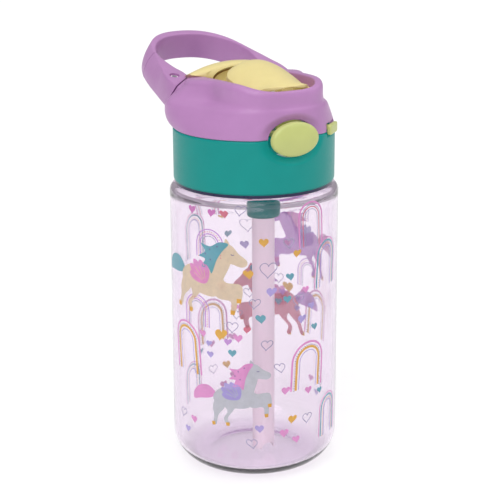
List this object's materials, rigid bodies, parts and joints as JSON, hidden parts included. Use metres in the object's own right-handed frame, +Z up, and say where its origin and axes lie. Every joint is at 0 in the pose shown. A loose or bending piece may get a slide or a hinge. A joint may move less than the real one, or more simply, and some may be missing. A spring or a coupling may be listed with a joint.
{
  "type": "kids water bottle",
  "caption": "Clear kids' water bottle with a screw lid, flip cover over a soft mouthpiece, push-button latch, side lock, straw and a carry loop with a snap gate.",
  "frame": {"origin": "centre of the base, on the bottle's axis, at the height of the surface it stands on", "axes": "+Z up along the bottle, the button and the front of the lid face -Y, +X to the right seen from the front, the carry loop reaches out to +Y"},
  "size_m": [0.075, 0.1153, 0.1883],
  "materials": {
    "clear_plastic": "clear pink-lilac tinted copolyester, printed with hearts, rainbows and winged ponies",
    "teal_plastic": "satin moulded polypropylene",
    "purple_plastic": "satin moulded polypropylene",
    "yellow_plastic": "satin moulded polypropylene",
    "straw_plastic": "milky translucent",
    "silicone": "translucent silicone",
    "steel": "stainless wire and pin"
  },
  "bodies": {
    "bottle": {"bottle_body": "clear_plastic"},
    "seal_ring": {"lid_gasket": "silicone"},
    "cap": {"screw_collar": "teal_plastic", "straw_connector": "teal_plastic", "connector_seal": "silicone", "straw": "straw_plastic", "vent_valve": "silicone", "lid_cover": "purple_plastic", "cover_cradle": "yellow_plastic", "cover_pin": "steel", "cover_spring": "steel", "mouthpiece": "silicone", "button_spring": "steel", "handle_loop": "purple_plastic", "gate_pin": "steel", "gate_spring": "steel"},
    "cover": {"flip_cover": "yellow_plastic", "cover_seal": "silicone"},
    "button": {"release_button": "yellow_plastic"},
    "lock": {"lock_slider": "yellow_plastic"},
    "gate": {"handle_gate": "purple_plastic"}
  },
  "joints": [
    {"name": "cap_rise", "type": "slide", "parent": "bottle", "child": "seal_ring", "axis": [0, 0, 1], "range_m": [0, 0.00565]},
    {"name": "cap_turn", "type": "hinge", "parent": "seal_ring", "child": "cap", "pos_m": [0, 0, 0.14], "axis": [0, 0, 1], "range_deg": [0, 450]},
    {"name": "cover_flip", "type": "hinge", "parent": "cap", "child": "cover", "pos_m": [0, -0.001, 0.1715], "axis": [-1, 0, 0], "range_deg": [0, 90]},
    {"name": "button_press", "type": "slide", "parent": "cap", "child": "button", "axis": [0, 1, 0], "range_m": [0, 0.0018], "stiffness_N_per_m": 400, "springref_m": -0.001, "deforming": ["button_spring"]},
    {"name": "lock_slide", "type": "hinge", "parent": "cap", "child": "lock", "pos_m": [0, 0, 0.161], "axis": [0, 0, 1], "range_deg": [0, 5]},
    {"name": "gate_swing", "type": "hinge", "parent": "cap", "child": "gate", "pos_m": [-0.0256, 0.02746, 0.16934], "axis": [0, 0.2588, -0.9659], "range_deg": [0, 20], "stiffness_Nm_per_rad": 0.02, "springref_deg": -17.19}
  ],
  "couplings": [
    {"joint": "cap_rise", "follows": "cap_turn", "m_per_rad": 0.0007162}
  ]
}
